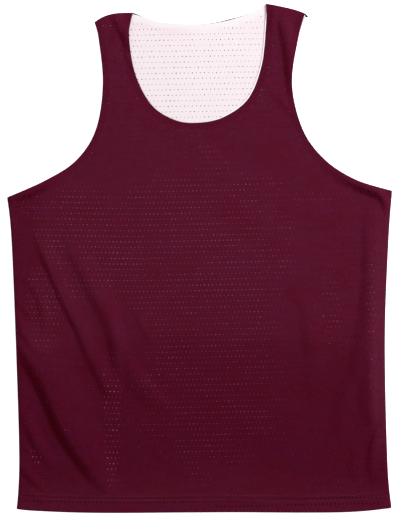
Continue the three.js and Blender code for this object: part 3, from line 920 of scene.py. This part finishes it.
def noise(tree, scale, detail, low, high, stretched=(1, 1, 1)):
    """Object noise, stretched so that low becomes 0 and high becomes 1."""
    coords = add_node(tree, "TexCoord", {}).outputs["Object"]
    turned = add_node(tree, "Mapping", {"Vector": coords, "Scale": stretched}).outputs["Vector"]
    given = {"Vector": turned, "Scale": scale, "Detail": detail}
    value = add_node(tree, "TexNoise", given).outputs["Fac"]
    given = {"Value": value, "From Min": low, "From Max": high}
    return add_node(tree, "MapRange", given).outputs["Result"]


def attribute(tree, name):
    return add_node(tree, "Attribute", {}, attribute_name=name).outputs["Fac"]


def fade(tree, value, width):
    """1 where an output is 0, and 0 where it is width or more."""
    given = {"Value": value, "From Min": width, "From Max": 0}
    return add_node(tree, "MapRange", given, interpolation_type="SMOOTHSTEP").outputs["Result"]


def groove(tree, name, place):
    """1 where an attribute has the place's first value, and 0 from its second one away from that."""
    middle, half_width = place
    value = attribute(tree, name)
    for operation, number in (("SUBTRACT", middle), ("DIVIDE", half_width), ("POWER", 2)):
        value = add_node(tree, "Math", {0: value, 1: number}, operation=operation).outputs[0]
    return fade(tree, value, 1)


def add_bump(tree, height, strength, distance, below=None, invert=False):
    """The normal of a bump by an output, over the normal of another bump."""
    given = {"Height": height, "Strength": strength, "Distance": distance}
    if below is not None:
        given["Normal"] = below
    return add_node(tree, "Bump", given, invert=invert).outputs["Normal"]


def knit_bump(tree):
    """The normal of fine wales and courses, with uneven yarn, and of the hem's sunk line."""
    coords = add_node(tree, "TexCoord", {}).outputs["Object"]
    waves = []
    for direction, scale in (("X", KNIT_WALES), ("Y", KNIT_COURSES)):
        given = {"Vector": coords, "Scale": scale, "Distortion": KNIT_DISTORTION, "Detail": 1}
        wave = add_node(tree, "TexWave", given, wave_type="BANDS", bands_direction=direction)
        waves.append(wave.outputs["Fac"])
    knit = add_node(tree, "Math", dict(enumerate(waves)), operation="MULTIPLY").outputs[0]
    fine = add_bump(tree, knit, *FINE_BUMP)
    soft = add_bump(tree, noise(tree, *UNEVEN), *SOFT_BUMP, fine)
    line = groove(tree, "hem_groove", HEM_GROOVE)
    return add_bump(tree, line, 1, HEM_SINK * MM, soft, invert=True)


def scaled(colour, factor):
    return [c * factor for c in colour[:3]] + [1]


def maroon_mesh():
    """The outer plies' cloth: dyed yarn, doubled in places, with painted shade towards the bottom, on fold
    flanks, round shadowed pinholes, along the rims and in the hem's sunk line, and a painted highlight along
    the right side.
    """
    material, tree, shader = new_material("maroon_mesh", 0.85)
    cloud = noise(tree, *CLOUD)
    tones = []
    for colour in (MAROON_LIT, MAROON_SHADED, MAROON_DOUBLE):
        red = [colour[0] * 1.02, colour[1] * 0.9, colour[2] * 0.86, 1]
        blue = [colour[0] * 0.98, colour[1] * 1.1, colour[2] * 1.12, 1]
        tones.append(mix_by(tree, cloud, red, blue))
    # Painted shade towards the bottom, then the doubled cloth, then the painted highlight along the right
    # side
    colour = mix_by(tree, attribute(tree, "falloff_shade"), tones[0], tones[1])
    colour = mix_by(tree, attribute(tree, "double"), colour, tones[2])
    colour = mix_by(tree, attribute(tree, "seam"), colour, MAROON_HIGHLIGHT)
    plain = [1, 1, 1, 1]
    # Random tone of the yarn, then painted shade in the hem's sunk line, round shadowed pinholes, along the
    # rims and on fold flanks that fall away from the light
    changes = (
        (noise(tree, *YARN), [0.82, 0.8, 0.8, 1], [1.18, 1.2, 1.2, 1]),
        (noise(tree, 430, 1, 0.3, 0.7), [1, 0.8, 0.82, 1], [1, 1.2, 1.18, 1]),
        (noise(tree, 150, 2, 0.3, 0.7), [0.955, 0.93, 0.93, 1], [1.045, 1.07, 1.07, 1]),
        (noise(tree, 40, 2, 0.3, 0.7, STREAK), [1.01, 0.9, 0.88, 1], [0.99, 1.1, 1.12, 1]),
        (groove(tree, "hem_groove", HEM_GROOVE), plain, [0.94, 0.9, 0.92, 1]),
        (groove(tree, "hole_shade", HOLE_SHADE_PLACE), plain, HOLE_SHADE),
        (fade(tree, attribute(tree, "rim"), RIM_WIDTH), plain, RIM_SHADE),
        (attribute(tree, "deep"), plain, DEEP_SHADE),
    )
    for factor, first, second in changes:
        colour = mix_by(tree, 1, colour, mix_by(tree, factor, first, second), "MULTIPLY")
    finish_cloth_shader(tree, shader, colour, MAROON_LIT)
    shader.inputs["Specular Tint"].default_value = MAROON_GLOSS
    return material


def white_mesh():
    """The reverse plies' cloth, tinted where the maroon shines on it: painted maroon bounce light under the
    front's pinholes, painted pink shade beside the front's neckline, along the back neck and at the armhole
    rims, and a painted highlight on the neckline's peek.
    """
    material, tree, shader = new_material("white_mesh", 0.9)
    yarn = noise(tree, *YARN)
    colour = mix_by(tree, noise(tree, *CLOUD), WHITE_FIELD, scaled(WHITE_FIELD, 1.02))
    colour = mix_by(tree, yarn, scaled(WHITE_FIELD, 0.975), colour)
    # Doubled cloth, then painted maroon bounce light under the front's pinholes
    for name, tint, shade in (("double", WHITE_DOUBLE, 0.97), ("maroon_bounce", WHITE_MAROON_BOUNCE, 0.8)):
        yarned = mix_by(tree, yarn, tint, scaled(tint, shade))
        colour = mix_by(tree, attribute(tree, name), colour, yarned)
    # Painted highlight on the peek inside the neckline and painted pink shade at the armhole rims and back
    # neck, then the front neckline's painted pink shadow
    for name, tint in (("peek_highlight", WHITE_PEEK_HIGHLIGHT), ("pink_shade", WHITE_PINK_SHADE)):
        colour = mix_by(tree, attribute(tree, name), colour, tint)
    colour = mix_by(tree, groove(tree, "front_neck", NECK_SHADOW_LINE), colour, WHITE_PINK_SHADE)
    finish_cloth_shader(tree, shader, colour, WHITE_FIELD)
    return material


def finish_cloth_shader(tree, shader, colour, tint):
    given = {"Base Color": colour, "Normal": knit_bump(tree), "Specular IOR Level": 0.015}
    given.update({"Sheen Weight": 0.01, "Sheen Roughness": 0.5, "Sheen Tint": tint})
    set_inputs(tree, shader, given)


def stitch_row(points, heights, spacing, length, radius):
    """Vertices and faces of a row of short stitches that dip into the cloth at both ends."""
    along = np.concatenate([[0], np.cumsum(np.linalg.norm(np.diff(points, axis=0), axis=1))])
    rows, faces = [], []
    sides, shape = STITCH_SIDES, STITCH_SHAPE
    turns = np.arange(sides) * 2 * math.pi / sides
    for centre in np.arange(spacing, along[-1] - spacing, spacing):
        start = len(rows) * sides
        ahead = [np.interp(centre + d, along, points[:, k]) for d in (-0.5, 0.5) for k in (0, 1)]
        tangent = np.array(ahead[2:]) - np.array(ahead[:2])
        tangent /= np.linalg.norm(tangent)
        across = np.array([-tangent[1], tangent[0]])
        for share, width, lift in shape:
            at = centre + share * length
            place = np.array([np.interp(at, along, points[:, k]) for k in (0, 1)])
            height = np.interp(at, along, heights) + lift * radius
            ring = [
                (*(place + across * radius * width * math.cos(t)), height + radius * width * math.sin(t))
                for t in turns
            ]
            rows.append(ring)
        for k in range(len(shape) - 1):
            for s in range(sides):
                n = (s + 1) % sides
                low, high = start + k * sides, start + (k + 1) * sides
                faces.append((low + s, low + n, high + n, high + s))
        faces.append(tuple(start + s for s in range(sides))[::-1])
        faces.append(tuple(start + (len(shape) - 1) * sides + s for s in range(sides)))
    return np.array(rows).reshape(-1, 3), faces


def make_stitches(ply, edges, name, materials):
    """All rows of stitches along the named open edges of a ply, as one piece, the hem's in the first
    material and the others in the second."""
    verts, faces, slots = [], [], []
    for edge in edges:
        members = np.flatnonzero(ply.kinds == edge)[1:-1]
        for depth in STITCH_LINES[edge]:
            line = offset_loop(ply.outline, depth)[members]
            radius = STITCH_RADIUS[edge == "hem"]
            heights = ply.height(line) + STITCH_SUNK[edge == "hem"] * radius
            row, row_faces = stitch_row(line, heights, STITCH_SPACING, STITCH_LENGTH, radius)
            start = sum(len(v) for v in verts)
            verts.append(row)
            faces += [tuple(start + k for k in face) for face in row_faces]
            slots += [0 if edge == "hem" else 1] * len(row_faces)
    verts = np.vstack(verts)
    verts[:, 1] -= UP_ZERO
    mesh = bpy.data.meshes.new(name)
    mesh.from_pydata((verts * MM).tolist(), [], faces)
    mesh.polygons.foreach_set("use_smooth", [True] * len(mesh.polygons))
    obj = add_object(name, mesh)
    for material in materials:
        mesh.materials.append(material)
    mesh.polygons.foreach_set("material_index", slots)
    return obj


def thread_material(name, colour, sunk):
    """Thread of one colour, which nearly goes down in the cloth's in places."""
    material, tree, shader = new_material(name, 0.6)
    frayed = mix_by(tree, noise(tree, *FRAY), colour, scaled(colour, 0.7))
    faded = mix_by(tree, noise(tree, *THREAD_FADE), frayed, sunk)
    set_inputs(tree, shader, {"Base Color": faded, "Specular IOR Level": 0.1})
    return material


def make_camera():
    """Straight above the cloth, framed as the photograph is: 409 by 520 pixels of 1.4 mm."""
    pixel = 1.4
    frame_wide, frame_tall = 409, 520
    middle_x, middle_up = 199.3, 258.15  # where the outline's middle lies in that frame
    data = bpy.data.cameras.new("camera")
    camera = add_object("camera", data)
    distance = 3.0
    data.sensor_width = 36
    data.lens = data.sensor_width * distance / (frame_tall * pixel * MM)
    right = (frame_wide / 2 - middle_x) * pixel * MM
    back = (middle_up - frame_tall / 2) * pixel * MM
    camera.location = (right, back, distance)
    bpy.context.scene.camera = camera


def make_light():
    """Even white light all round, and one large soft lamp up on the right."""
    world = bpy.data.worlds.new("studio")
    world.use_nodes = True
    tree = world.node_tree
    set_inputs(tree, tree.nodes["Background"], {"Color": (1, 1, 1, 1), "Strength": WORLD_STRENGTH})
    bpy.context.scene.world = world
    data = bpy.data.lights.new("key", "AREA")
    data.shape = "DISK"
    data.size = LIGHT_SIZE
    data.energy = KEY_ENERGY
    key = add_object("key", data)
    key.location = (
        LIGHT_DISTANCE * math.cos(LIGHT_ELEVATION) * math.cos(LIGHT_AZIMUTH),
        LIGHT_DISTANCE * math.cos(LIGHT_ELEVATION) * math.sin(LIGHT_AZIMUTH),
        LIGHT_DISTANCE * math.sin(LIGHT_ELEVATION),
    )
    key.rotation_euler = (-Vector(key.location)).to_track_quat("-Z", "Y").to_euler()


def make_floor():
    """A pale table that is lit a little from beneath, so that it stays white around the cloth."""
    mesh = bpy.data.meshes.new("floor")
    half = 30
    corners = [(-half, -half, 0), (half, -half, 0), (half, half, 0), (-half, half, 0)]
    mesh.from_pydata(corners, [], [(0, 1, 2, 3)])
    floor = add_object("floor", mesh)
    material, tree, shader = new_material("pale_floor", 0.9)
    given = {"Base Color": (0.93, 0.93, 0.93, 1), "Specular IOR Level": 0}
    given.update({"Emission Color": (1, 1, 1, 1), "Emission Strength": FLOOR_GLOW})
    set_inputs(tree, shader, given)
    mesh.materials.append(material)



make_camera()
make_light()
make_floor()

MATERIALS = {"maroon_mesh": maroon_mesh(), "white_mesh": white_mesh()}
HEM_THREAD = thread_material("hem_thread", linear(140, 66, 90), linear(92, 26, 48))
MAROON_THREAD = thread_material("maroon_thread", linear(88, 22, 44), linear(84, 18, 40))
WHITE_THREAD = thread_material("white_thread", linear(244, 226, 232), linear(238, 216, 224))

# Each ply's cloth and stitches, which take the place of its CAD part
for name in PLIES:
    ply, cloth = make_ply(name)
    cloth.data.materials.append(MATERIALS[ply.slot])
    threads = [HEM_THREAD, MAROON_THREAD] if ply.is_outer else [WHITE_THREAD, WHITE_THREAD]
    stitches = make_stitches(ply, list(STITCH_LINES), name + "_stitches", threads)
    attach(cloth, "root")
    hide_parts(name)
    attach(stitches, "root")

scene = bpy.context.scene
scene.view_settings.view_transform = "Standard"
